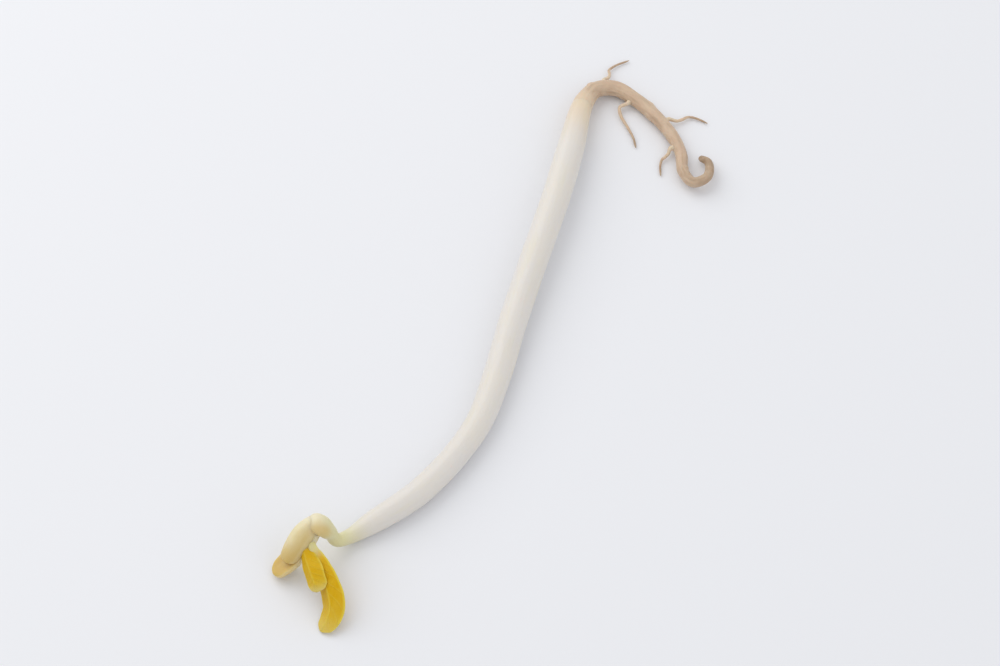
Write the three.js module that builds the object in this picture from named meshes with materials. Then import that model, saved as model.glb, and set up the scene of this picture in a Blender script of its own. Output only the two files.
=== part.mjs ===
// A mung bean sprout, lying on a flat surface as picked. Millimetres, +Z up.
// The root end points along +X and the head along -X; the surface is Z = 0.
import * as THREE from "three";

// Driving dimensions
const STEM_RADIUS = 1.5;
const UPPER_COTYLEDON_LENGTH = 4;
const LOWER_COTYLEDON_LENGTH = 5.4;
const COTYLEDON_HALF_WIDTH = 1.25;
const COTYLEDON_DEPTH = 0.95;
const LONG_LEAF_HALF_WIDTH = 1.3;
const SHORT_LEAF_HALF_WIDTH = 1.1;
const LEAF_THICKNESS = 0.3;
const EPICOTYL_RADIUS = 0.3;
const ROOTLET_RADIUS = 0.2;
const JOINT_GAP = 0.2;
const UPPER_COTYLEDON_START = 0.5;
const LOWER_COTYLEDON_START = 0.8;

// How the head hangs from the hook, in degrees
const HEAD_HEADING = 165;
const HEAD_DROOP = 38;
const HEAD_ROLL = 22;

// The centre line from the seed-leaf node, round the hook, down the stem and out along the root.
// Each station is [x, y, height of the underside, girth], with girth a share of STEM_RADIUS.
const AXIS_STATIONS = [
  [-29.8, 7.5, 3.55, 0.56],
  [-29.6, 7.2, 4, 0.54],
  [-29.3, 6.65, 3.75, 0.48],
  [-29.1, 6.1, 2.6, 0.44],
  [-28.9, 5.5, 1, 0.44],
  [-27.6, 4.7, 0.25, 0.5],
  [-25.5, 3.5, 0, 0.72],
  [-22.8, 1.9, 0, 0.83],
  [-19.9, 0.6, 0, 0.85],
  [-15, -0.6, 0, 0.85],
  [-10.5, -1, 0, 0.88],
  [-5.4, -0.4, 0.1, 0.93],
  [1.5, 0.9, 0.4, 0.95],
  [9, 2.1, 0.7, 0.96],
  [16.3, 3.2, 0.8, 0.97],
  [23.3, 4.6, 0.6, 0.93],
  [29.8, 6, 0.4, 0.7],
  [32.1, 5.6, 0.3, 0.56],
  [33.2, 4, 0.1, 0.53],
  [32.9, 1.6, 0, 0.5],
  [31.8, -1.1, 0, 0.47],
  [30.2, -3.7, 0.1, 0.44],
  [28.3, -5.6, 0.2, 0.41],
  [26.3, -6.7, 0.3, 0.38],
  [25.3, -8.3, 0.6, 0.36],
  [26.4, -9.3, 0.8, 0.33],
  [28.4, -8.6, 0.5, 0.28],
  [28.9, -7.4, 0.2, 0.2],
];
// The crown, where stem turns to root, with half the seam between the two, in stations.
const CROWN_STATION = 16;
const SEAM = 0.03;

// Fine side roots: [station on the centre line, side, reach, sweep along the root, sway].
const ROOTLETS = [
  [17.5, -1, 2.8, 3.2, 0.5],
  [18.9, 1, 3.6, 4.0, -0.6],
  [20.4, -1, 3.2, 2.4, 0.4],
  [21.6, 1, 2.0, 2.6, 0.3],
];

// The head's own frame: +X runs from the node to the seed leaves' tips, +Z is the upper
// seed leaf's outside, and the first leaves come out of the slit on the +Y side.
const EPICOTYL_ROUTE = [[0.45, 0, 0], [0.9, 0.05, 0], [1.4, 0.25, 0]];
const LONG_LEAF_ROUTE = [
  [1.5, 0.8, -0.05],
  [2.25, 1.8, -0.2],
  [3.1, 3.4, -0.6],
  [4, 4.8, -1.1],
  [5.1, 5.9, -1.6],
  [6.4, 6.4, -1.8],
  [7.8, 6.5, -1.8],
];
const SHORT_LEAF_ROUTE = [
  [2.05, 0.4, 0.05],
  [2.8, 1.8, 0.25],
  [3.5, 3.2, 0.2],
  [4.15, 4.1, -0.15],
  [4.8, 4.6, -0.6],
];

// The line inside each seed leaf, as [share of its length, across, height].
const UPPER_COTYLEDON_LINE = [[0, 0.1, 0.38], [0.25, -0.1, 0.42], [0.65, -0.2, 0.36], [1, -0.25, 0.3]];
const LOWER_COTYLEDON_LINE = [[0, 0.1, -0.38], [0.25, -0.1, -0.42], [0.65, -0.4, -0.35], [1, -0.7, 0.4]];

// Sizes along a piece, as [place from 0 to 1, share of its full size].
const COTYLEDON_OUTLINE = [
  [0, 0.55],
  [0.1, 0.84],
  [0.3, 1],
  [0.66, 0.98],
  [0.86, 0.84],
  [0.96, 0.58],
  [1, 0.3],
];
const LEAF_OUTLINE = [
  [0, 0.22],
  [0.1, 0.27],
  [0.35, 0.78],
  [0.6, 1],
  [0.83, 0.94],
  [0.95, 0.66],
  [1, 0.3],
];
const LEAF_FOLD = [[0, 0], [0.12, 0.1], [0.35, 0.55], [0.8, 0.5], [1, 0.2]];
const ROOTLET_TAPER = [[0, 1], [0.6, 0.75], [1, 0.35]];

// Depth of a seed leaf's inner face, as a share of its outer dome's.
const INNER_FACE = 0.1;

// Facets round each piece and along it.
const STEM_SIDES = 16;
const ROOT_SIDES = 12;
const RINGS_PER_STATION = 4;
const ROOTLET_FACETS = { sides: 6, rings: 14 };
const COTYLEDON_FACETS = { sides: 18, rings: 16 };
const EPICOTYL_FACETS = { sides: 10, rings: 6 };
const LEAF_FACETS = { sides: 16, rings: 18 };

const LOOKS = {
  stem: { color: 0xf4f2ea, roughness: 0.4, metalness: 0 },
  root: { color: 0xc9ad94, roughness: 0.65, metalness: 0 },
  cotyledon: { color: 0xe6d9ab, roughness: 0.45, metalness: 0 },
  stalk: { color: 0xe8e3b4, roughness: 0.5, metalness: 0 },
  leaf: { color: 0xe3bd1c, roughness: 0.5, metalness: 0 },
};

const UP = new THREE.Vector3(0, 0, 1);
const sprout = new THREE.Group();

function addPart(parent, name, geometry, look) {
  const part = new THREE.Mesh(geometry, new THREE.MeshStandardMaterial(look));
  part.name = name;
  parent.add(part);
}

function curveThrough(points) {
  return new THREE.CatmullRomCurve3(points.map((point) => new THREE.Vector3(...point)));
}

// The value of a list of [place, value] steps at t, eased from one step to the next.
function eased(steps, t) {
  const next = steps.findIndex(([place]) => place >= t);
  if (next <= 0) {
    return steps[Math.max(next, 0)][1];
  }
  const [before, low] = steps[next - 1];
  const [after, high] = steps[next];
  return THREE.MathUtils.lerp(low, high, THREE.MathUtils.smoothstep(t, before, after));
}

// Bends a closed rod onto the stretch of a route from one place to another, both from 0 to 1.
// section(t, a, b) turns the rod's unit disc (a towards the face, b across) into millimetres.
function grow({ route, from = 0, to = 1, rings, sides, face, section }) {
  const rod = new THREE.CylinderGeometry(1, 1, 1, sides, rings);
  const frames = [];
  let normal = face.clone();
  for (let ring = 0; ring <= rings; ring += 1) {
    const place = THREE.MathUtils.lerp(from, to, ring / rings);
    const tangent = route.getTangent(place);
    normal = normal.clone().addScaledVector(tangent, -normal.dot(tangent)).normalize();
    frames.push({ centre: route.getPoint(place), normal, across: normal.clone().cross(tangent) });
  }
  const vertices = rod.attributes.position;
  for (let i = 0; i < vertices.count; i += 1) {
    const ring = Math.round((vertices.getY(i) + 0.5) * rings);
    const { centre, normal: outward, across } = frames[ring];
    const [out, side] = section(ring / rings, vertices.getX(i), vertices.getZ(i));
    const spot = centre.clone().addScaledVector(outward, out).addScaledVector(across, side);
    vertices.setXYZ(i, spot.x, spot.y, spot.z);
  }
  rod.computeVertexNormals();
  return rod;
}

// The stem and root share one centre line, so they meet in line at the crown.
const lastStation = AXIS_STATIONS.length - 1;
const axis = curveThrough(
  AXIS_STATIONS.map(([x, y, underside, girth]) => [x, y, underside + girth * STEM_RADIUS]),
);
const girths = AXIS_STATIONS.map(([, , , girth], station) => [station / lastStation, girth]);

function axisRadius(place) {
  return STEM_RADIUS * eased(girths, place);
}

function axisStretch(fromStation, toStation, sides) {
  const from = fromStation / lastStation;
  const to = toStation / lastStation;
  return grow({
    route: axis,
    from,
    to,
    rings: Math.round((toStation - fromStation) * RINGS_PER_STATION),
    sides,
    face: UP,
    section: (t, a, b) => {
      const radius = axisRadius(THREE.MathUtils.lerp(from, to, t));
      return [a * radius, b * radius];
    },
  });
}

addPart(sprout, "hypocotyl", axisStretch(0, CROWN_STATION - SEAM, STEM_SIDES), LOOKS.stem);
addPart(sprout, "primary_root", axisStretch(CROWN_STATION + SEAM, lastStation, ROOT_SIDES), LOOKS.root);

// A side root leaves the root sideways, wanders and settles onto the surface.
function rootlet([station, side, reach, sweep, sway]) {
  const place = station / lastStation;
  const base = axis.getPoint(place);
  const along = axis.getTangent(place).setZ(0).normalize();
  const out = along.clone().cross(UP).multiplyScalar(side);
  const start = axisRadius(place) + JOINT_GAP;
  const spots = [0, 0.2, 0.4, 0.6, 0.8, 1].map((share) => {
    const spot = base.clone().addScaledVector(out, start + reach * share);
    spot.addScaledVector(along, sweep * share ** 2 + sway * Math.sin(2 * Math.PI * share));
    return spot.setZ(THREE.MathUtils.lerp(base.z, ROOTLET_RADIUS, Math.sqrt(share)));
  });
  return grow({
    route: new THREE.CatmullRomCurve3(spots),
    ...ROOTLET_FACETS,
    face: UP,
    section: (t, a, b) => {
      const radius = ROOTLET_RADIUS * eased(ROOTLET_TAPER, t);
      return [a * radius, b * radius];
    },
  });
}

ROOTLETS.forEach((spec, index) => {
  addPart(sprout, `lateral_root_${index + 1}`, rootlet(spec), LOOKS.root);
});

// The head sits on the end of the hook.
const head = new THREE.Group();
head.position.copy(axis.getPoint(0));
head.rotation.order = "ZYX";
head.rotation.set(...[HEAD_ROLL, HEAD_DROOP, HEAD_HEADING].map(THREE.MathUtils.degToRad));
sprout.add(head);

// Half a bean: nearly flat inside, domed outside, bowed a little round the shoot. It starts at
// reach from the node, and side is 1 for the upper one and -1 for the lower.
function cotyledon({ side, reach, length, line }) {
  return grow({
    route: curveThrough(line.map(([share, across, height]) => [reach + share * length, across, height])),
    ...COTYLEDON_FACETS,
    face: UP.clone().multiplyScalar(side),
    section: (t, a, b) => {
      const outline = eased(COTYLEDON_OUTLINE, t);
      const depth = COTYLEDON_DEPTH * outline * (a > 0 ? 1 : INNER_FACE);
      return [a * depth, b * COTYLEDON_HALF_WIDTH * outline];
    },
  });
}

const upper = cotyledon({
  side: 1,
  reach: UPPER_COTYLEDON_START,
  length: UPPER_COTYLEDON_LENGTH,
  line: UPPER_COTYLEDON_LINE,
});
const lower = cotyledon({
  side: -1,
  reach: LOWER_COTYLEDON_START,
  length: LOWER_COTYLEDON_LENGTH,
  line: LOWER_COTYLEDON_LINE,
});
addPart(head, "cotyledon_upper", upper, LOOKS.cotyledon);
addPart(head, "cotyledon_lower", lower, LOOKS.cotyledon);

// The short round stalk that carries the first leaves.
const epicotyl = grow({
  route: curveThrough(EPICOTYL_ROUTE),
  ...EPICOTYL_FACETS,
  face: UP,
  section: (t, a, b) => [a * EPICOTYL_RADIUS, b * EPICOTYL_RADIUS],
});
addPart(head, "epicotyl", epicotyl, LOOKS.stalk);

// A first leaf: a slim stalk that opens into a lance-shaped blade folded along its midrib.
function firstLeaf(route, fullWidth) {
  return grow({
    route: curveThrough(route),
    ...LEAF_FACETS,
    face: UP,
    section: (t, a, b) => {
      const halfWidth = fullWidth * eased(LEAF_OUTLINE, t);
      const thickness = Math.min(LEAF_THICKNESS / 2, halfWidth);
      const fold = -Math.abs(b) * halfWidth * eased(LEAF_FOLD, t);
      return [a * thickness + fold, b * halfWidth];
    },
  });
}

const longLeaf = firstLeaf(LONG_LEAF_ROUTE, LONG_LEAF_HALF_WIDTH);
const shortLeaf = firstLeaf(SHORT_LEAF_ROUTE, SHORT_LEAF_HALF_WIDTH);
addPart(head, "first_leaf_long", longLeaf, LOOKS.leaf);
addPart(head, "first_leaf_short", shortLeaf, LOOKS.leaf);

export default sprout;
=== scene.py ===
"""A mung bean sprout lying on a pale surface as picked, with its studio.

Each piece is a closed rod of mesh bent onto its own line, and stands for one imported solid.
Lines and girths are in millimetres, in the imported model's frame; meshes end up in metres.
"""

import math
from bisect import bisect_right

import bmesh
import bpy
from bpy.props import FloatProperty, FloatVectorProperty, PointerProperty
from mathutils import Color, Euler, Matrix, Vector, noise


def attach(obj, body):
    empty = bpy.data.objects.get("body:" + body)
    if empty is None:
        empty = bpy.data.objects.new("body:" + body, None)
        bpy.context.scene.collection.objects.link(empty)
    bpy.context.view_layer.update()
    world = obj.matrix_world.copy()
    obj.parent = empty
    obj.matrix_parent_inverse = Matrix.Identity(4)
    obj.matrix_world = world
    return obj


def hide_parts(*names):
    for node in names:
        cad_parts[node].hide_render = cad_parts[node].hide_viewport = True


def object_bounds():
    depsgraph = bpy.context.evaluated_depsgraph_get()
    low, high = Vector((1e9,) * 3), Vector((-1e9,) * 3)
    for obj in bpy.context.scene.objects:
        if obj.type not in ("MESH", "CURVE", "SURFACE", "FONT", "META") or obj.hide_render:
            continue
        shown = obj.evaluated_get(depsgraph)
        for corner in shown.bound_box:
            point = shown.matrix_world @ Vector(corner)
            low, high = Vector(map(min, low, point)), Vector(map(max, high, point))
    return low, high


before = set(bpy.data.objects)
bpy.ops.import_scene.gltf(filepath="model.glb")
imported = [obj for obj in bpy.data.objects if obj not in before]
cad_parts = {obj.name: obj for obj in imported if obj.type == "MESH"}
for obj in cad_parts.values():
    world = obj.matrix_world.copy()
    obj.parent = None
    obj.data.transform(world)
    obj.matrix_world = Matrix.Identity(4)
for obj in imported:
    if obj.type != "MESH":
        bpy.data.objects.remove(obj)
CAD_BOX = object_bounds()

bl_info = {
    "name": "Mung Bean Sprout",
    "version": (1, 0, 0),
    "blender": (4, 5, 0),
    "location": "3D View > Sidebar > Sprout",
    "description": "Builds a mung bean sprout piece by piece and sets up its studio",
    "category": "Add Mesh",
}

MM = 0.001
UP = Vector((0, 0, 1))
STEM_RADIUS = 1.5

# The centre line from the seed-leaf node, round the hook, down the stem and out along the root.
# Each station is (x, y, height of the underside, girth), with girth a share of the stem's radius.
AXIS_STATIONS = [
    (-29.8, 7.5, 3.55, 0.56),
    (-29.6, 7.2, 4.0, 0.54),
    (-29.3, 6.65, 3.75, 0.48),
    (-29.1, 6.1, 2.6, 0.44),
    (-28.9, 5.5, 1.0, 0.44),
    (-27.6, 4.7, 0.25, 0.5),
    (-25.5, 3.5, 0.0, 0.72),
    (-22.8, 1.9, 0.0, 0.83),
    (-19.9, 0.6, 0.0, 0.85),
    (-15.0, -0.6, 0.0, 0.85),
    (-10.5, -1.0, 0.0, 0.88),
    (-5.4, -0.4, 0.1, 0.93),
    (1.5, 0.9, 0.4, 0.95),
    (9.0, 2.1, 0.7, 0.96),
    (16.3, 3.2, 0.8, 0.97),
    (23.3, 4.6, 0.6, 0.93),
    (29.8, 6.0, 0.4, 0.7),
    (32.1, 5.6, 0.3, 0.56),
    (33.2, 4.0, 0.1, 0.53),
    (32.9, 1.6, 0.0, 0.5),
    (31.8, -1.1, 0.0, 0.47),
    (30.2, -3.7, 0.1, 0.44),
    (28.3, -5.6, 0.2, 0.41),
    (26.3, -6.7, 0.3, 0.38),
    (25.3, -8.3, 0.6, 0.36),
    (26.4, -9.3, 0.8, 0.33),
    (28.4, -8.6, 0.5, 0.28),
    (28.9, -7.4, 0.2, 0.2),
]
LAST_STATION = len(AXIS_STATIONS) - 1
# The crown, where stem turns to root. The root starts this many stations inside the stem's end.
CROWN_STATION = 16
CROWN_LAP = 0.15

# Fine side roots: (station on the centre line, side, reach, sweep along the root, sway).
ROOTLETS = [
    (17.5, -1, 2.8, 3.2, 0.5),
    (18.9, 1, 3.6, 4.0, -0.6),
    (20.4, -1, 3.2, 2.4, 0.4),
    (21.6, 1, 2.0, 2.6, 0.3),
]
ROOTLET_TAPER = [(0, 1), (0.6, 0.75), (1, 0.45)]
# Bumps where more side roots would break out: (station, angle round the root in degrees).
ROOT_BUDS = [(16.8, 60), (18.2, 150), (19.6, 75), (19.9, 250), (21.0, 120), (22.3, 200), (22.9, 40)]

# The head's own frame: +X runs from the node to the seed leaves' tips, +Z is the upper
# seed leaf's outside, and the first leaves come out of the slit on the +Y side.
STALK_ROUTE = [(-0.25, 0, 0), (0.2, 0, 0), (0.8, 0.05, 0), (1.4, 0.25, 0), (1.75, 0.5, 0.02)]
LONG_LEAF_ROUTE = [
    (1.3, 0.25, -0.03),
    (1.5, 0.8, -0.05),
    (2.25, 1.8, -0.2),
    (3.1, 3.4, -0.6),
    (4.0, 4.8, -1.1),
    (5.1, 5.9, -1.6),
    (6.4, 6.4, -1.8),
    (7.8, 6.5, -1.8),
]
SHORT_LEAF_ROUTE = [
    (1.5, 0.2, 0.03),
    (2.05, 0.4, 0.05),
    (2.8, 1.8, 0.25),
    (3.5, 3.2, 0.2),
    (4.15, 4.1, -0.15),
    (4.8, 4.6, -0.6),
]
# The line inside each seed leaf: (share of its length, across, height).
UPPER_LINE = [(0, 0.1, 0.38), (0.25, -0.1, 0.42), (0.65, -0.2, 0.36), (1, -0.25, 0.3)]
LOWER_LINE = [(0, 0.1, -0.38), (0.25, -0.1, -0.42), (0.65, -0.4, -0.35), (1, -0.7, 0.4)]
# Where the seed leaves start, inside the node: along, across and height, down for the lower.
SEED_LEAF_START = (-0.75, 0.34, 0.28)
SEED_LEAF_OUTLINE = [
    (0, 0.45),
    (0.1, 0.76),
    (0.3, 0.99),
    (0.66, 0.98),
    (0.86, 0.84),
    (0.96, 0.6),
    (1, 0.5),
]
LEAF_OUTLINE = [(0, 0.2), (0.1, 0.26), (0.35, 0.76), (0.6, 1), (0.83, 0.95), (0.95, 0.7), (1, 0.45)]
LEAF_FOLD = [(0, 0), (0.12, 0.1), (0.35, 0.55), (0.8, 0.5), (1, 0.2)]

# Unevenness of the stem: (share of the girth, size in millimetres, seed of the noise).
STEM_SWELLS = ((0.018, 5.0, 3.1), (0.008, 1.6, 7.7))
# The stem's girth is a touch flatter than round, and the inside of the hook is filled this deep.
STEM_FLATTENING, STEM_WIDENING, HOOK_FILLING = 0.015, 0.01, 0.75
# Depth of the root's furrows and wrinkles, and height of its buds, as shares of its girth.
FURROW_DEPTH, WRINKLE_DEPTH, BUD_HEIGHT = 0.055, 0.05, 0.14
# Millimetres between the root's stations, and the spread of a bud along the root.
STATION_STEP, BUD_SPREAD = 2.4, 0.3
# Straight steps that the stem is measured in.
LENGTH_STEPS = 200
# How far the root's start is drawn in round the stem's end, and how ragged that edge is.
CROWN_TUCK, CROWN_RAGGEDNESS = 0.06, 0.5
# How much a side root widens where it leaves the root, and how far along that lasts.
ROOTLET_FLARE, FLARE_REACH = 0.7, 0.45
# How deep a seed leaf's inner face is at the node and further on, as a share of the outer dome's,
# and how far its margins close over the slit.
INNER_DEPTH_AT_NODE, INNER_DEPTH, MARGIN_CUPPING = 0.45, 0.38, 0.28
# Rise of a first leaf's side veins and waves, how many veins it has, and how much they lean.
VEIN_RISE, WAVE_RISE, VEINS, VEIN_LEAN = 0.05, 0.14, 9, 1.5

# Rings along each kind of piece and points round it.
STEM_FACETS = {"rings": 300, "sides": 36}
ROOT_FACETS = {"rings": 320, "sides": 32}
ROOTLET_FACETS = {"rings": 90, "sides": 16}
SEED_LEAF_FACETS = {"rings": 72, "sides": 48}
STALK_FACETS = {"rings": 48, "sides": 24}
LEAF_FACETS = {"rings": 110, "sides": 56}

# The picture's width over its height, and the width of the camera's sensor in millimetres.
ASPECT = 1000 / 666
SENSOR_WIDTH = 36


def paint(code):
    """Red, green and blue of a six-digit colour code, as shaders take them."""
    shown = Color([int(code[i : i + 2], 16) / 255 for i in (0, 2, 4)])
    return tuple(shown.from_srgb_to_scene_linear())


def length_property(name, description, millimetres):
    return FloatProperty(
        name=name,
        description=description,
        default=millimetres * MM,
        min=0,
        unit="LENGTH",
        precision=5,
    )


def angle_property(name, description, degrees):
    return FloatProperty(
        name=name, description=description, default=math.radians(degrees), subtype="ANGLE"
    )


def colour_property(name, description, code):
    return FloatVectorProperty(
        name=name,
        description=description,
        default=paint(code),
        size=3,
        min=0,
        max=1,
        subtype="COLOR",
    )


class SproutSizes(bpy.types.PropertyGroup):
    """Sizes of the sprout's pieces and the way its head hangs."""

    stem_radius: length_property(
        "Stem radius", "Half the thickness of the stem at its middle", STEM_RADIUS
    )
    rootlet_radius: length_property("Side root radius", "Half the thickness of a side root", 0.2)
    upper_length: length_property("Upper seed leaf", "Length of the upper seed leaf", 4.3)
    lower_length: length_property("Lower seed leaf", "Length of the lower seed leaf", 5.4)
    seed_leaf_half_width: length_property("Seed leaf half width", "Half a seed leaf's width", 1.25)
    seed_leaf_depth: length_property(
        "Seed leaf depth", "Depth of a seed leaf's domed outside", 0.95
    )
    seed_leaf_step: length_property("Seed leaf step", "How far on the lower seed leaf starts", 0.6)
    joint_gap: length_property("Joint gap", "Where a solid starts, beyond what carries it", 0.2)
    long_leaf_half_width: length_property(
        "Long leaf half width", "Half the long first leaf's width", 1.3
    )
    short_leaf_half_width: length_property(
        "Short leaf half width", "Half the short first leaf's width", 1.1
    )
    leaf_thickness: length_property(
        "Leaf thickness", "Thickness of a first leaf at its midrib", 0.3
    )
    stalk_radius: length_property("Stalk radius", "Half the thickness of the leaves' stalk", 0.3)
    heading: angle_property("Heading", "Direction the head points in, round the vertical", 165)
    droop: angle_property("Droop", "How far the head hangs below level", 38)
    roll: angle_property("Roll", "Turn of the head about its own length", 22)


class SproutColours(bpy.types.PropertyGroup):
    """Colours of the sprout's pieces."""

    stem: colour_property("Stem", "Translucent white of the stem", "e2ddd7")
    neck: colour_property("Neck", "Yellow-green of the thin neck under the head", "dbd5a3")
    node: colour_property("Node", "Cream of the node that carries the seed leaves", "ece1c0")
    crown: colour_property("Crown", "Warm tint where the stem turns to root", "e3cfb4")
    root: colour_property("Root", "Tan of the root", "cdb298")
    root_tip: colour_property("Root tip", "Darker tan of the root's curled end", "a58b70")
    seed_leaf: colour_property("Seed leaf", "Cream of a seed leaf's outside", "e8dcb0")
    seed_leaf_rim: colour_property("Seed leaf rim", "Pale margin of a seed leaf", "f2e9cc")
    # Tan of the seed leaves' tips and inner faces. The same tan is also painted shade on the hook's
    # inner side by the node and on the seed leaves' sides towards the slit.
    tan_and_painted_shade: colour_property(
        "Seed leaf tip", "Tan of a seed leaf's tip and inner face", "cfae56"
    )
    stalk: colour_property("Stalk", "Pale green of the leaves' stalk", "dcd49c")
    leaf: colour_property("Leaf", "Gold of a first leaf", "d6aa00")
    leaf_margin: colour_property("Leaf margin", "Pale margin and rib of a first leaf", "e4cc50")
    surface: colour_property("Surface", "Pale surface that the sprout lies on", "eeeff3")


class StudioSettings(bpy.types.PropertyGroup):
    """Camera and lights."""

    azimuth: angle_property("Azimuth", "Camera's turn round the sprout", -65)
    elevation: angle_property("Elevation", "Camera's height above the surface", 55)
    lens: FloatProperty(name="Lens", description="Focal length", default=150, min=1, unit="CAMERA")
    filling: FloatProperty(
        name="Filling",
        description="Share of the picture that the sprout spans",
        default=0.86,
        min=0.1,
        max=1,
    )
    key_power: FloatProperty(
        name="Key light",
        description="Power of the large soft light",
        default=0.53,
        min=0,
        unit="POWER",
    )
    fill_power: FloatProperty(
        name="Fill light",
        description="Power of the light from the front",
        default=0.3,
        min=0,
        unit="POWER",
    )
    ambience: FloatProperty(
        name="Ambience",
        description="Strength of the even light from all round",
        default=0.73,
        min=0,
    )


# --- Shapes ---------------------------------------------------------------------------------


def mix(low, high, share):
    return low + (high - low) * share


def smoothly(low, high, value):
    """0 below low, 1 above high, and an eased step between."""
    share = min(max((value - low) / (high - low), 0), 1)
    return share * share * (3 - 2 * share)


def rounding(distance, reach):
    """Share of full girth at a distance from a rounded end that takes reach to fill out."""
    short = 1 - min(max(distance / reach, 0), 1)
    return math.sqrt(1 - short * short)


class Profile:
    """A smooth curve through (place, value) steps."""

    def __init__(self, steps):
        self.places = [place for place, _ in steps]
        self.values = [value for _, value in steps]
        last = len(steps) - 1
        self.slopes = []
        for step in range(len(steps)):
            before, after = max(step - 1, 0), min(step + 1, last)
            rise = self.values[after] - self.values[before]
            self.slopes.append(rise / (self.places[after] - self.places[before]))

    def __call__(self, place):
        step = min(max(bisect_right(self.places, place) - 1, 0), len(self.places) - 2)
        width = self.places[step + 1] - self.places[step]
        s = min(max((place - self.places[step]) / width, 0), 1)
        return (
            (1 + 2 * s) * (1 - s) ** 2 * self.values[step]
            + s * (1 - s) ** 2 * width * self.slopes[step]
            + s * s * (3 - 2 * s) * self.values[step + 1]
            - s * s * (1 - s) * width * self.slopes[step + 1]
        )


class Route:
    """A centripetal spline through places, read from 0 at its first to 1 at its last."""

    def __init__(self, places):
        points = [Vector(place) for place in places]
        self.spans = len(points) - 1
        self.points = [2 * points[0] - points[1], *points, 2 * points[-1] - points[-2]]

    def at(self, place):
        span = min(max(int(place * self.spans), 0), self.spans - 1)
        s = place * self.spans - span
        p0, p1, p2, p3 = self.points[span : span + 4]
        d0, d1, d2 = (math.sqrt((b - a).length) for a, b in ((p0, p1), (p1, p2), (p2, p3)))
        leave = ((p1 - p0) / d0 - (p2 - p0) / (d0 + d1) + (p2 - p1) / d1) * d1
        arrive = ((p2 - p1) / d1 - (p3 - p1) / (d1 + d2) + (p3 - p2) / d2) * d1
        return (
            (1 + 2 * s) * (1 - s) ** 2 * p1
            + s * (1 - s) ** 2 * leave
            + s * s * (3 - 2 * s) * p2
            - s * s * (1 - s) * arrive
        )

    def heading(self, place):
        step = 1e-4
        return (self.at(place + step) - self.at(place - step)).normalized()


def grow(route, section, rings, sides, start=0.0, end=1.0, face=UP):
    """A closed rod of mesh bent onto a stretch of a route, in millimetres.

    section(share, a, b, length) turns a point of the rod's unit disc, a towards the face and b
    across, into an offset out and one sideways. The points keep where they were on the straight
    rod, as rod (a, b, share) and as grain (a and b times the girth, and the length so far).
    """
    bm = bmesh.new()
    rod = bm.verts.layers.float_vector.new("rod")
    grain = bm.verts.layers.float_vector.new("grain")
    bmesh.ops.create_cone(
        bm, cap_ends=True, cap_tris=True, segments=sides, radius1=1, radius2=1, depth=1
    )
    lengthwise = [edge for edge in bm.edges if abs(edge.verts[0].co.z - edge.verts[1].co.z) > 0.5]
    bmesh.ops.subdivide_edges(bm, edges=lengthwise, cuts=rings - 1, use_grid_fill=True)

    stops, normal, run, last = [], face.copy(), 0.0, None
    for ring in range(rings + 1):
        share = (1 - math.cos(math.pi * ring / rings)) / 2
        place = mix(start, end, share)
        centre, tangent = route.at(place), route.heading(place)
        normal = (normal - tangent * normal.dot(tangent)).normalized()
        run += (centre - last).length if last else 0
        last = centre
        stops.append((share, centre, normal.copy(), normal.cross(tangent), run))

    for vert in bm.verts:
        share, centre, outward, across, length = stops[round((vert.co.z + 0.5) * rings)]
        a, b = vert.co.x, -vert.co.y
        out, side = section(share, a, b, length)
        vert[rod] = (a, b, share)
        vert[grain] = (out, side, length)
        vert.co = centre + outward * out + across * side
    return bm


def waver(out, side, length, size, seed):
    """Smooth noise from -1 to 1 over a rod, with features about size millimetres across."""
    return noise.noise(Vector((out / size + seed, side / size - seed, length / size)))


def add_piece(name, bm, placing, material, node):
    """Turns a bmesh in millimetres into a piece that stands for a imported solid."""
    bmesh.ops.transform(bm, matrix=Matrix.Scale(MM, 4) @ placing, verts=bm.verts)
    bmesh.ops.recalc_face_normals(bm, faces=bm.faces)
    for surface in bm.faces:
        surface.smooth = True
    mesh = bpy.data.meshes.new(name)
    bm.to_mesh(mesh)
    bm.free()
    mesh.materials.append(material)
    piece = bpy.data.objects.new(name, mesh)
    bpy.context.scene.collection.objects.link(piece)
    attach(piece, "root")
    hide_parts(node)
    return piece


axis = Route([(x, y, under + girth * STEM_RADIUS) for x, y, under, girth in AXIS_STATIONS])
girth_along = Profile([(s / LAST_STATION, girth) for s, (*_, girth) in enumerate(AXIS_STATIONS)])


def head_placing(sizes):
    """The head's frame, on the end of the hook."""
    turn = Euler((sizes.roll, sizes.droop, sizes.heading), "XYZ").to_matrix().to_4x4()
    return Matrix.Translation(axis.at(0)) @ turn


# --- Finishes -------------------------------------------------------------------------------


def put(tree, kind, feeds=None, **settings):
    """Adds a node, sets its options, and fills its inputs with values or other nodes' outputs."""
    node = tree.nodes.new(kind)
    for option, value in settings.items():
        setattr(node, option, value)
    for socket, source in (feeds or {}).items():
        if isinstance(source, bpy.types.NodeSocket):
            tree.links.new(source, node.inputs[socket])
        else:
            node.inputs[socket].default_value = source
    return node


def combine(tree, operation, first, second=0.0):
    return put(tree, "ShaderNodeMath", {0: first, 1: second}, operation=operation).outputs[0]


def step_mask(tree, source, low, high):
    """0 where the source is below low, 1 above high; high may be below low."""
    feeds = {"Value": source, "From Min": low, "From Max": high}
    return put(tree, "ShaderNodeMapRange", feeds, interpolation_type="SMOOTHSTEP").outputs["Result"]


def tint(tree, mask, low, high):
    """One colour or the other by the mask."""
    feeds = {0: mask, 6: opaque(low), 7: opaque(high)}
    return put(tree, "ShaderNodeMix", feeds, data_type="RGBA").outputs[2]


def opaque(colour):
    return colour if isinstance(colour, bpy.types.NodeSocket) else (*colour, 1)


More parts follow.
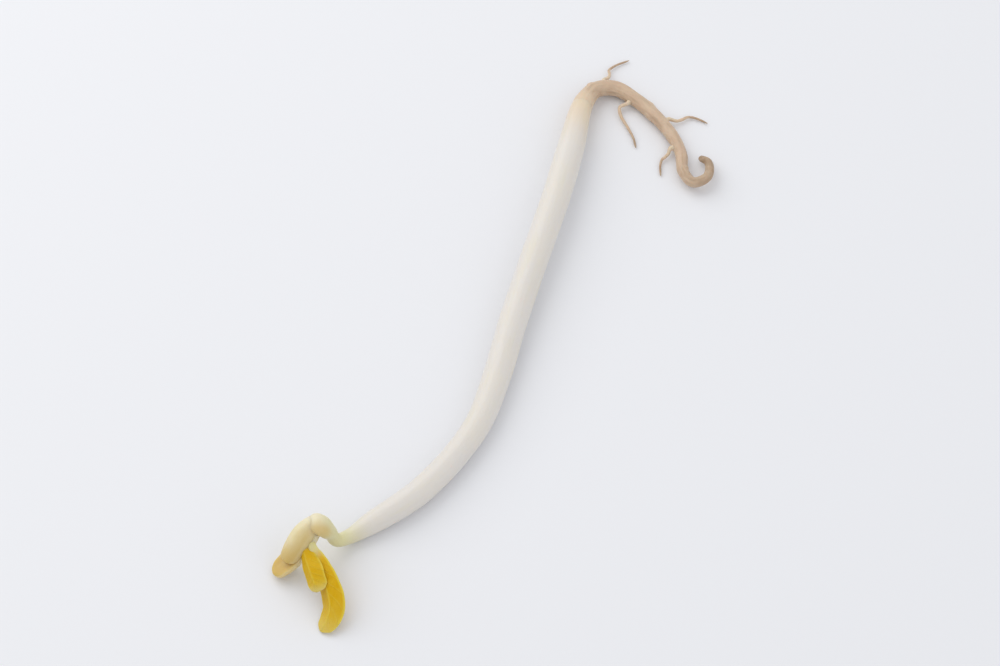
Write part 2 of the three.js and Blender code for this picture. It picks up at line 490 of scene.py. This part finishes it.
def new_effect(name, takes, gives):
    """An empty node group with its input and output nodes."""
    tree = bpy.data.node_groups.new(name, "ShaderNodeTree")
    for label, kind in takes:
        tree.interface.new_socket(name=label, in_out="INPUT", socket_type=f"NodeSocket{kind}")
    for label in gives:
        tree.interface.new_socket(name=label, in_out="OUTPUT", socket_type="NodeSocketFloat")
    return tree, put(tree, "NodeGroupInput").outputs, put(tree, "NodeGroupOutput")


def fibres_effect():
    """Fine lines that run the length of a piece."""
    takes = [("Grain", "Vector"), ("Fineness", "Float"), ("Draw", "Float")]
    tree, given, out = new_effect("Lengthwise fibres", takes, ["Height", "Streak"])
    slow = combine(tree, "DIVIDE", given["Fineness"], given["Draw"])
    drawn = stretched(tree, given["Grain"], given["Fineness"], slow)
    fine = put(tree, "ShaderNodeTexNoise", {"Vector": drawn, "Scale": 1.0, "Detail": 3.0})
    tree.links.new(fine.outputs["Fac"], out.inputs["Height"])
    coarse = put(tree, "ShaderNodeTexNoise", {"Vector": drawn, "Scale": 0.45, "Detail": 2.0})
    tree.links.new(step_mask(tree, coarse.outputs["Fac"], 0.5, 0.68), out.inputs["Streak"])
    return tree


def stretched(tree, grain, across, along):
    """The grain scaled across the rod and along it."""
    scales = put(tree, "ShaderNodeCombineXYZ", {0: across, 1: across, 2: along})
    feeds = {0: grain, 1: scales.outputs[0]}
    return put(tree, "ShaderNodeVectorMath", feeds, operation="MULTIPLY").outputs[0]


def mottle_effect():
    """Soft uneven patches about a size across."""
    takes = [("Grain", "Vector"), ("Size", "Float"), ("Softness", "Float")]
    tree, given, out = new_effect("Soft mottle", takes, ["Patch"])
    scale = combine(tree, "DIVIDE", 1.0, given["Size"])
    feeds = {"Vector": given["Grain"], "Scale": scale, "Detail": 2.0}
    cloud = put(tree, "ShaderNodeTexNoise", feeds)
    low = combine(tree, "SUBTRACT", 0.5, given["Softness"])
    high = combine(tree, "ADD", 0.5, given["Softness"])
    tree.links.new(step_mask(tree, cloud.outputs["Fac"], low, high), out.inputs["Patch"])
    return tree


def cells_effect():
    """The skin's long cells, as shallow cushions."""
    takes = [("Grain", "Vector"), ("Width", "Float")]
    tree, given, out = new_effect("Skin cells", takes, ["Height"])
    scale = combine(tree, "DIVIDE", 1.0, given["Width"])
    along = combine(tree, "MULTIPLY", scale, 0.25)
    drawn = stretched(tree, given["Grain"], scale, along)
    cells = put(tree, "ShaderNodeTexVoronoi", {"Vector": drawn, "Scale": 1.0})
    tree.links.new(combine(tree, "SUBTRACT", 1.0, cells.outputs["Distance"]), out.inputs["Height"])
    return tree


def effect(name):
    """A shared node group, built the first time it is asked for."""
    makers = {
        "Lengthwise fibres": fibres_effect,
        "Soft mottle": mottle_effect,
        "Skin cells": cells_effect,
    }
    return bpy.data.node_groups.get(name) or makers[name]()


class Finish:
    """A material in the making, with the shared effects at hand."""

    def __init__(self, name):
        self.material = bpy.data.materials.new(name)
        self.material.use_nodes = True
        self.tree = self.material.node_tree
        self.shader = self.tree.nodes["Principled BSDF"]
        self.grain = put(self.tree, "ShaderNodeAttribute", attribute_name="grain").outputs["Vector"]
        self.length = put(self.tree, "ShaderNodeSeparateXYZ", {0: self.grain}).outputs[2]
        rod = put(self.tree, "ShaderNodeAttribute", attribute_name="rod").outputs["Vector"]
        place = put(self.tree, "ShaderNodeSeparateXYZ", {0: rod})
        self.face, self.across, self.share = place.outputs

    def effect(self, name, **values):
        feeds = {label.capitalize(): value for label, value in values.items()}
        feeds["Grain"] = self.grain
        return put(self.tree, "ShaderNodeGroup", feeds, node_tree=effect(name)).outputs

    def mask(self, source, low, high):
        return step_mask(self.tree, source, low, high)

    def tint(self, mask, low, high):
        return tint(self.tree, mask, low, high)

    def math(self, operation, first, second=0.0):
        return combine(self.tree, operation, first, second)

    def weighted(self, mask, weight):
        return combine(self.tree, "MULTIPLY", mask, weight)

    def done(self, colour, roughness, height, relief, sockets):
        """Feeds the shader; relief is the depth of the height in millimetres."""
        feeds = {"Height": height, "Distance": relief * MM, "Strength": 1.0}
        bump = put(self.tree, "ShaderNodeBump", feeds)
        self.tree.links.new(colour, self.shader.inputs["Base Color"])
        self.tree.links.new(roughness, self.shader.inputs["Roughness"])
        self.tree.links.new(bump.outputs["Normal"], self.shader.inputs["Normal"])
        for label, value in sockets.items():
            self.shader.inputs[label].default_value = value
        return self.material


def stem_finish(colours):
    """Crisp white flesh, yellow-green at the neck and warm at the crown, with painted shade in tan
    on the hook's inner side next to the node.
    """
    look = Finish("Stem flesh")
    fibres = look.effect("Lengthwise fibres", fineness=3.2, draw=9.0)
    patches = look.effect("Soft mottle", size=2.6, softness=0.16)["Patch"]
    cells = look.effect("Skin cells", width=0.09)["Height"]
    colour = look.tint(look.mask(look.length, 0.4, 1.8), colours.node, colours.neck)
    colour = look.tint(look.mask(look.length, 4.2, 8.6), colour, colours.stem)
    colour = look.tint(look.mask(look.share, 0.93, 1.0), colour, colours.crown)
    # Painted shade: tan on the hook's inner side next to the node, standing in for the shade there.
    inside = look.weighted(look.mask(look.across, 0.1, -0.7), look.mask(look.length, 2.8, 1.0))
    colour = look.tint(look.weighted(inside, 0.75), colour, colours.tan_and_painted_shade)
    colour = look.tint(look.weighted(patches, 0.10), colour, colours.node)
    colour = look.tint(look.weighted(fibres["Streak"], 0.10), colour, colours.neck)
    roughness = look.math("ADD", look.weighted(patches, 0.08), 0.34)
    height = look.math("ADD", look.weighted(fibres["Height"], 1.6), look.weighted(cells, 0.35))
    sockets = {
        "Subsurface Weight": 0.3,
        "Subsurface Radius": (1.0, 0.9, 0.75),
        "Subsurface Scale": 1.2 * MM,
        "Coat Weight": 0.15,
        "Coat Roughness": 0.2,
        "Sheen Weight": 0.2,
        "Sheen Roughness": 0.35,
    }
    return look.done(colour, roughness, height, relief=0.03, sockets=sockets)


def root_finish(colours, name="Root skin", pale_to=0.12):
    """Tan skin with furrows, pale from its start to pale_to of its length, and dull at the tip."""
    look = Finish(name)
    fibres = look.effect("Lengthwise fibres", fineness=4.5, draw=7.0)
    patches = look.effect("Soft mottle", size=1.1, softness=0.14)["Patch"]
    cells = look.effect("Skin cells", width=0.11)["Height"]
    streaks = look.weighted(fibres["Streak"], look.mask(look.share, 0.0, 0.1))
    colour = look.tint(look.mask(look.share, -0.06, pale_to), colours.crown, colours.root)
    colour = look.tint(look.mask(look.share, 0.55, 0.95), colour, colours.root_tip)
    colour = look.tint(look.weighted(patches, 0.3), colour, colours.crown)
    colour = look.tint(look.weighted(streaks, 0.4), colour, colours.root_tip)
    roughness = look.math("ADD", look.weighted(streaks, 0.14), 0.42)
    height = look.math("ADD", look.weighted(fibres["Height"], 1.8), look.weighted(cells, 0.5))
    height = look.weighted(height, look.mask(look.share, -0.02, 0.06))
    sockets = {
        "Subsurface Weight": 0.25,
        "Subsurface Radius": (1.0, 0.6, 0.4),
        "Subsurface Scale": 0.6 * MM,
    }
    return look.done(colour, roughness, height, relief=0.06, sockets=sockets)


def seed_leaf_finish(colours, name, slit, tan, tip_from, rim):
    """Cream flesh with a pale rim, tan inside and at the tip, and painted shade in tan towards the
    slit.

    slit is the side across that the slit is on, with tan the strength of the painted shade there.
    The tip's tan starts at tip_from of the length, and rim is the strength of the pale margin.
    """
    look = Finish(name)
    fibres = look.effect("Lengthwise fibres", fineness=2.6, draw=3.5)
    patches = look.effect("Soft mottle", size=1.3, softness=0.18)["Patch"]
    cells = look.effect("Skin cells", width=0.12)["Height"]
    inner = look.weighted(look.mask(look.face, 0.12, -0.25), look.mask(look.share, 0.1, 0.5))
    edge = look.mask(look.math("ABSOLUTE", look.across), 0.8, 0.97)
    colour = look.tint(look.weighted(patches, 0.45), colours.seed_leaf, colours.seed_leaf_rim)
    colour = look.tint(look.weighted(fibres["Streak"], 0.22), colour, colours.tan_and_painted_shade)
    tip = look.weighted(look.mask(look.share, tip_from, 1.05), 0.85)
    colour = look.tint(tip, colour, colours.tan_and_painted_shade)
    colour = look.tint(look.weighted(inner, 0.7), colour, colours.tan_and_painted_shade)
    colour = look.tint(look.weighted(edge, rim), colour, colours.seed_leaf_rim)
    colour = look.tint(look.mask(look.share, 0.36, 0.06), colour, colours.node)
    # Painted shade: tan on the side towards the slit, standing in for the shade between the seed
    # leaves.
    painted_slit_shade = look.mask(look.weighted(look.across, slit), -0.3, 0.9)
    colour = look.tint(look.weighted(painted_slit_shade, tan), colour, colours.tan_and_painted_shade)
    roughness = look.math("ADD", look.weighted(patches, 0.1), 0.38)
    height = look.math("ADD", look.weighted(fibres["Height"], 1.4), look.weighted(cells, 0.35))
    sockets = {
        "Subsurface Weight": 0.45,
        "Subsurface Radius": (1.0, 0.84, 0.5),
        "Subsurface Scale": 1.3 * MM,
        "Coat Weight": 0.08,
        "Coat Roughness": 0.3,
    }
    return look.done(colour, roughness, height, relief=0.05, sockets=sockets)


def leaf_finish(colours, name, pale_to, pale_end):
    """Gold blade with pale rib, side veins and margin.

    Its stalk is pale to pale_to of the length, and pale_end is the strength of the tip's tint.
    """
    look = Finish(name)
    spread = look.math("ABSOLUTE", look.across)
    leaning = look.weighted(spread, VEIN_LEAN)
    slant = look.math("SUBTRACT", look.weighted(look.share, VEINS), leaning)
    comb = look.math("ABSOLUTE", look.math("SUBTRACT", look.math("FRACT", slant), 0.5))
    blade = look.weighted(look.mask(look.share, 0.28, 0.48), look.mask(look.share, 0.97, 0.86))
    veins = look.weighted(look.mask(comb, 0.12, 0.0), blade)
    rib = look.mask(spread, 0.13, 0.03)
    patches = look.effect("Soft mottle", size=0.9, softness=0.15)["Patch"]
    cells = look.effect("Skin cells", width=0.1)["Height"]
    fibres = look.effect("Lengthwise fibres", fineness=3.5, draw=3.0)
    colour = look.tint(look.weighted(patches, 0.12), colours.leaf, colours.leaf_margin)
    colour = look.tint(look.weighted(veins, 0.22), colour, colours.leaf_margin)
    colour = look.tint(look.weighted(rib, 0.45), colour, colours.leaf_margin)
    margin = look.weighted(look.mask(spread, 0.82, 0.99), 0.8)
    colour = look.tint(margin, colour, colours.leaf_margin)
    colour = look.tint(look.mask(look.share, pale_to, pale_to - 0.16), colour, colours.stalk)
    end = look.weighted(look.mask(look.share, 0.6, 1.0), 0.5)
    colour = look.tint(end, colour, colours.leaf_margin)
    tip = look.weighted(look.mask(look.share, 0.8, 1.0), pale_end)
    colour = look.tint(tip, colour, colours.stalk)
    roughness = look.math("ADD", look.weighted(fibres["Height"], 0.2), 0.34)
    ridges = look.math("ADD", look.weighted(veins, 0.5), look.weighted(rib, 0.7))
    height = look.math("ADD", ridges, look.weighted(cells, 0.5))
    sockets = {
        "Subsurface Weight": 0.25,
        "Subsurface Radius": (1.0, 0.9, 0.1),
        "Subsurface Scale": 0.4 * MM,
        "Specular IOR Level": 0.15,
    }
    return look.done(colour, roughness, height, relief=0.05, sockets=sockets)


def stalk_finish(colours):
    """Pale green flesh with fine lines."""
    look = Finish("Stalk flesh")
    fibres = look.effect("Lengthwise fibres", fineness=5.0, draw=6.0)
    patches = look.effect("Soft mottle", size=0.6, softness=0.2)["Patch"]
    colour = look.tint(look.weighted(patches, 0.4), colours.stalk, colours.node)
    colour = look.tint(look.weighted(fibres["Streak"], 0.3), colour, colours.neck)
    roughness = look.math("ADD", look.weighted(patches, 0.1), 0.4)
    sockets = {
        "Subsurface Weight": 0.3,
        "Subsurface Radius": (1.0, 0.85, 0.5),
        "Subsurface Scale": 0.6 * MM,
    }
    return look.done(colour, roughness, fibres["Height"], relief=0.04, sockets=sockets)


def surface_finish(colours):
    """Pale matt surface with the faintest cloudiness."""
    material = bpy.data.materials.new("Pale surface")
    material.use_nodes = True
    tree = material.node_tree
    where = put(tree, "ShaderNodeTexCoord").outputs["Object"]
    cloud = put(tree, "ShaderNodeTexNoise", {"Vector": where, "Scale": 6.0, "Detail": 2.0})
    shade = [channel * 0.985 for channel in colours.surface]
    shader = tree.nodes["Principled BSDF"]
    colour = tint(tree, cloud.outputs["Fac"], shade, colours.surface)
    tree.links.new(colour, shader.inputs["Base Color"])
    shader.inputs["Roughness"].default_value = 0.5
    shader.inputs["Specular IOR Level"].default_value = 0.3
    return material


# --- Pieces ---------------------------------------------------------------------------------


class SPROUT_OT_stem(bpy.types.Operator):
    """Grow the white stem with its hooked neck and the node on its end"""

    bl_idname = "sprout.stem"
    bl_label = "Stem"

    def execute(self, context):
        radius = context.scene.sprout_sizes.stem_radius / MM
        crown = CROWN_STATION / LAST_STATION
        marks = [axis.at(crown * i / LENGTH_STEPS) for i in range(LENGTH_STEPS + 1)]
        total = sum((after - before).length for before, after in zip(marks, marks[1:]))

        def section(share, a, b, length):
            girth = radius * girth_along(share * crown)
            girth *= rounding(length + 0.01, 0.75) * rounding(total - length + 0.002, 0.25)
            out, side = a * girth, b * girth
            swell = sum(
                depth * waver(out, side, length, size, seed) for depth, size, seed in STEM_SWELLS
            )
            uneven = smoothly(0, 3, total - length)
            closing = 1 - 0.05 * smoothly(1.0, 0.3, total - length)
            out, side = out * closing, side * closing
            out *= 1 + (swell - STEM_FLATTENING) * uneven
            side *= 1 + (swell + STEM_WIDENING) * uneven
            # The hook's inside is filled next to the node, where the seed leaves sit on it.
            filling = HOOK_FILLING * smoothly(-0.5, 1, -b) * smoothly(3.8, 1.5, length)
            return out, side - filling * rounding(length + 0.01, 0.9)

        bm = grow(axis, section, **STEM_FACETS, end=crown)
        finish = stem_finish(context.scene.sprout_colours)
        add_piece("stem", bm, Matrix.Identity(4), finish, "hypocotyl")
        return {"FINISHED"}


class SPROUT_OT_root(bpy.types.Operator):
    """Grow the tan root with its furrows, buds and curled tip"""

    bl_idname = "sprout.root"
    bl_label = "Root"

    def execute(self, context):
        radius = context.scene.sprout_sizes.stem_radius / MM
        start = (CROWN_STATION - CROWN_LAP) / LAST_STATION

        def section(share, a, b, length):
            place = mix(start, 1, share)
            girth = radius * girth_along(place) * rounding(1 - share + 0.0005, 0.02)
            furrow = waver(a * 0.8, b * 0.8, length / 5, 0.42, 1.9)
            furrow *= FURROW_DEPTH * smoothly(0.0, 0.08, share)
            wrinkle = waver(a * 0.3, b * 0.3, length, 0.9, 5.3)
            wrinkle *= WRINKLE_DEPTH * smoothly(0.1, 0.5, share)
            bud = 0.0
            for station, angle in ROOT_BUDS:
                gap = (place * LAST_STATION - station) * STATION_STEP
                turn = math.radians(angle)
                facing = a * math.cos(turn) + b * math.sin(turn)
                rise = math.exp(-(gap / BUD_SPREAD) ** 2)
                bud += BUD_HEIGHT * rise * smoothly(0.55, 1.0, facing)
            ragged = CROWN_RAGGEDNESS * waver(a * 1.2, b * 1.2, 0, 0.6, 2.6)
            tuck = CROWN_TUCK * smoothly(0.6, 0, length + ragged)
            swell = 1 + furrow + wrinkle + bud - tuck
            # Nothing swells the underside, which lies on the surface.
            under = min(0, a) ** 2
            return a * girth * mix(swell, min(swell, 1), under), b * girth * swell

        bm = grow(axis, section, **ROOT_FACETS, start=start)
        finish = root_finish(context.scene.sprout_colours)
        add_piece("root", bm, Matrix.Identity(4), finish, "primary_root")
        return {"FINISHED"}


class SPROUT_OT_side_roots(bpy.types.Operator):
    """Grow the fine side roots that wander off the root and settle on the surface"""

    bl_idname = "sprout.side_roots"
    bl_label = "Side Roots"

    def execute(self, context):
        sizes = context.scene.sprout_sizes
        finish = root_finish(context.scene.sprout_colours, "Side root skin", pale_to=0.9)
        taper = Profile(ROOTLET_TAPER)
        for number, (station, side, reach, sweep, sway) in enumerate(ROOTLETS, 1):
            place = station / LAST_STATION
            base, along = axis.at(place), axis.heading(place)
            along = Vector((along.x, along.y, 0)).normalized()
            out = along.cross(UP) * side
            root_radius = sizes.stem_radius / MM * girth_along(place)
            fine = sizes.rootlet_radius / MM
            spots = [base + out * root_radius * 0.6]
            for share in (0.0, 0.2, 0.4, 0.6, 0.8, 1.0):
                spot = base + out * (root_radius + sizes.joint_gap / MM + reach * share)
                spot += along * (sweep * share**2 + sway * math.sin(2 * math.pi * share))
                spot.z = mix(base.z, fine, math.sqrt(share))
                spots.append(spot)

            def section(share, a, b, length):
                flare = 1 + ROOTLET_FLARE * math.exp(-((length / FLARE_REACH) ** 2))
                girth = fine * taper(share) * rounding(1 - share + 0.001, 0.06) * flare
                girth *= 1 + 0.1 * waver(a * 0.2, b * 0.2, length, 0.5, number * 2.3)
                return a * girth, b * girth

            bm = grow(Route(spots), section, **ROOTLET_FACETS)
            node = f"lateral_root_{number}"
            add_piece(f"side_root_{number}", bm, Matrix.Identity(4), finish, node)
        return {"FINISHED"}


class SPROUT_OT_seed_leaves(bpy.types.Operator):
    """Grow the pair of seed leaves, the two halves of the bean"""

    bl_idname = "sprout.seed_leaves"
    bl_label = "Seed Leaves"

    def execute(self, context):
        sizes, colours = context.scene.sprout_sizes, context.scene.sprout_colours
        gap, step = sizes.joint_gap / MM, sizes.seed_leaf_step / MM
        depth, half_width = sizes.seed_leaf_depth / MM, sizes.seed_leaf_half_width / MM
        outline = Profile(SEED_LEAF_OUTLINE)
        # tan is the strength of the painted shade towards the slit.
        for name, side, reach, length, line, tan, tip_from, rim in (
            ("upper", 1, gap, sizes.upper_length / MM, UPPER_LINE, 0.5, 0.3, 0.45),
            ("lower", -1, gap + step, sizes.lower_length / MM, LOWER_LINE, 0.2, 0.35, 0.35),
        ):
            places = [Vector((reach + share * length, across, up)) for share, across, up in line]
            along, across, height = SEED_LEAF_START
            places[0] = Vector((along, across, height * side))
            route = Route(places)

            def section(share, a, b, run):
                size = outline(share) * rounding(share + 0.0004, 0.05)
                size *= rounding(1 - share + 0.0004, 0.07)
                inner = mix(INNER_DEPTH_AT_NODE, INNER_DEPTH, smoothly(0.05, 0.35, share))
                out = depth * size * (a if a > 0 else a * inner)
                wide = b * half_width * size
                pucker = 0.05 * waver(a, b * 1.2, run / 3, 0.5, 4.4 + side) * (1 if a > 0 else 0.3)
                margin = 0.04 * waver(0.0, b, run, 1.1, 8.8 + side) * abs(b) ** 3
                cupped = MARGIN_CUPPING * smoothly(0.3, 1, abs(b))
                cupped *= smoothly(-0.1, 0.2, share) * smoothly(1, 0.8, share)
                out = out * (1 + 0.6 * pucker) + pucker * 0.5 * size - cupped
                return out, wide * (1 + margin)

            bm = grow(route, section, **SEED_LEAF_FACETS, face=UP * side)
            finish = seed_leaf_finish(colours, f"Seed leaf flesh {name}", side, tan, tip_from, rim)
            node = f"cotyledon_{name}"
            add_piece(f"seed_leaf_{name}", bm, head_placing(sizes), finish, node)
        return {"FINISHED"}


class SPROUT_OT_stalk(bpy.types.Operator):
    """Grow the short stalk between the seed leaves, with the bud on its end"""

    bl_idname = "sprout.stalk"
    bl_label = "Leaf Stalk"

    def execute(self, context):
        sizes = context.scene.sprout_sizes
        radius = sizes.stalk_radius / MM

        def section(share, a, b, length):
            girth = radius * rounding(share + 0.001, 0.1) * rounding(1 - share + 0.001, 0.22)
            bud = 0.25 * smoothly(0.55, 0.8, share)
            girth *= 1 + bud + 0.04 * waver(a * 0.3, b * 0.3, length, 0.5, 6.1)
            return a * girth, b * girth

        bm = grow(Route(STALK_ROUTE), section, **STALK_FACETS)
        finish = stalk_finish(context.scene.sprout_colours)
        add_piece("stalk", bm, head_placing(sizes), finish, "epicotyl")
        return {"FINISHED"}


class SPROUT_OT_first_leaves(bpy.types.Operator):
    """Grow the two yellow first leaves, folded along their ribs"""

    bl_idname = "sprout.first_leaves"
    bl_label = "First Leaves"

    def execute(self, context):
        sizes, colours = context.scene.sprout_sizes, context.scene.sprout_colours
        outline, fold = Profile(LEAF_OUTLINE), Profile(LEAF_FOLD)
        thickness = sizes.leaf_thickness / MM
        for name, places, full_width, pale_to, pale_end, seed in (
            ("long", LONG_LEAF_ROUTE, sizes.long_leaf_half_width / MM, 0.38, 0.25, 2.2),
            ("short", SHORT_LEAF_ROUTE, sizes.short_leaf_half_width / MM, 0.34, 0.5, 9.4),
        ):

            def section(share, a, b, length):
                closing = rounding(1 - share + 0.0006, 0.07)
                half_width = full_width * outline(share) * closing
                blade = smoothly(0.08, 0.35, share)
                thick = thickness * mix(0.85, 0.42, blade) * closing
                keel = math.sqrt(b * b + 0.012) - 0.11
                spread = abs(b)
                veins = math.sin(2 * math.pi * (VEINS * share - VEIN_LEAN * spread))
                veins *= spread * (1 - spread)
                wave = waver(0.0, math.copysign(1.5, b), length, 1.3, seed) * spread**2
                out = a * thick - keel * half_width * fold(share)
                out += blade * (VEIN_RISE * veins + WAVE_RISE * wave)
                nibble = waver(0.0, math.copysign(3, b), length, 0.8, seed)
                return out, b * half_width * (1 + 0.05 * blade * nibble * spread)

            bm = grow(Route(places), section, **LEAF_FACETS)
            finish = leaf_finish(colours, f"Leaf blade {name}", pale_to, pale_end)
            node = f"first_leaf_{name}"
            add_piece(f"leaf_{name}", bm, head_placing(sizes), finish, node)
        return {"FINISHED"}


# --- Studio ---------------------------------------------------------------------------------


def soft_light(name, towards, distance, size, power, colour, centre):
    """A square soft light at a distance from the sprout, aimed at it."""
    lamp = bpy.data.lights.new(name, "AREA")
    lamp.energy, lamp.size, lamp.color = power, size, colour
    light = bpy.data.objects.new(name, lamp)
    light.location = centre + towards.normalized() * distance
    light.rotation_euler = towards.to_track_quat("Z", "Y").to_euler()
    bpy.context.scene.collection.objects.link(light)


class SPROUT_OT_studio(bpy.types.Operator):
    """Lay the pale surface, set up the soft lights and aim the camera"""

    bl_idname = "sprout.studio"
    bl_label = "Studio"

    def execute(self, context):
        scene, studio = context.scene, context.scene.sprout_studio
        low, high = CAD_BOX
        centre, span = (low + high) / 2, (high - low).length

        bm = bmesh.new()
        bmesh.ops.create_grid(bm, x_segments=8, y_segments=8, size=span * 20)
        mesh = bpy.data.meshes.new("surface")
        bm.to_mesh(mesh)
        bm.free()
        mesh.materials.append(surface_finish(scene.sprout_colours))
        surface = bpy.data.objects.new("surface", mesh)
        scene.collection.objects.link(surface)

        turn, rise = studio.azimuth, studio.elevation
        away = Vector((-math.sin(turn), math.cos(turn), 0))
        right = Vector((math.cos(turn), math.sin(turn), 0))
        back = UP * math.sin(rise) - away * math.cos(rise)
        upward = back.cross(right)

        # How far the sprout reaches along the picture's width, its height and the line of sight.
        corners = [v.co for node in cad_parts.values() for v in node.data.vertices]
        middle, spans = Vector(), []
        for arrow in (right, upward, back):
            reach = [corner.dot(arrow) for corner in corners]
            middle += arrow * (min(reach) + max(reach)) / 2
            spans.append(max(reach) - min(reach))
        width = max(spans[0], spans[1] * ASPECT)

        lens = bpy.data.cameras.new("camera")
        lens.lens, lens.sensor_width = studio.lens, SENSOR_WIDTH
        distance = width / studio.filling * lens.lens / lens.sensor_width
        lens.clip_start, lens.clip_end = distance * 0.01, distance * 50
        camera = bpy.data.objects.new("camera", lens)
        camera.location = middle + back * distance
        camera.rotation_euler = back.to_track_quat("Z", "Y").to_euler()
        scene.collection.objects.link(camera)
        scene.camera = camera

        soft_light(
            "key light",
            towards=away * 0.7 - right * 0.75 + UP,
            distance=span * 4.5,
            size=span * 5,
            power=studio.key_power,
            colour=(1, 0.99, 0.97),
            centre=centre,
        )
        soft_light(
            "fill light",
            towards=right - away * 0.6 + UP * 0.9,
            distance=span * 7,
            size=span * 6,
            power=studio.fill_power,
            colour=(0.96, 0.98, 1),
            centre=centre,
        )

        world = bpy.data.worlds.new("studio light")
        world.use_nodes = True
        background = world.node_tree.nodes["Background"]
        background.inputs["Color"].default_value = (0.985, 0.99, 1, 1)
        background.inputs["Strength"].default_value = studio.ambience
        scene.world = world
        scene.view_settings.view_transform = "Standard"
        return {"FINISHED"}


class VIEW3D_PT_sprout(bpy.types.Panel):
    """Settings of the sprout, and a button for each group of its pieces"""

    bl_idname = "VIEW3D_PT_sprout"
    bl_label = "Mung Bean Sprout"
    bl_space_type = "VIEW_3D"
    bl_region_type = "UI"
    bl_category = "Sprout"

    def draw(self, context):
        for name in ("sprout_sizes", "sprout_colours", "sprout_studio"):
            settings = getattr(context.scene, name)
            column = self.layout.column(align=True)
            for label in SETTINGS[name].__annotations__:
                column.prop(settings, label)
        for operator in OPERATORS:
            self.layout.operator(operator.bl_idname)


SETTINGS = {
    "sprout_sizes": SproutSizes,
    "sprout_colours": SproutColours,
    "sprout_studio": StudioSettings,
}
OPERATORS = (
    SPROUT_OT_stem,
    SPROUT_OT_root,
    SPROUT_OT_side_roots,
    SPROUT_OT_seed_leaves,
    SPROUT_OT_stalk,
    SPROUT_OT_first_leaves,
    SPROUT_OT_studio,
)


def register():
    for group in (*SETTINGS.values(), *OPERATORS, VIEW3D_PT_sprout):
        bpy.utils.register_class(group)
    for name, group in SETTINGS.items():
        setattr(bpy.types.Scene, name, PointerProperty(type=group))


def unregister():
    for name in SETTINGS:
        delattr(bpy.types.Scene, name)
    for group in reversed((*SETTINGS.values(), *OPERATORS, VIEW3D_PT_sprout)):
        bpy.utils.unregister_class(group)


def main():
    register()
    bpy.ops.sprout.stem()
    bpy.ops.sprout.root()
    bpy.ops.sprout.side_roots()
    bpy.ops.sprout.seed_leaves()
    bpy.ops.sprout.stalk()
    bpy.ops.sprout.first_leaves()
    bpy.ops.sprout.studio()


if __name__ == "__main__":
    main()
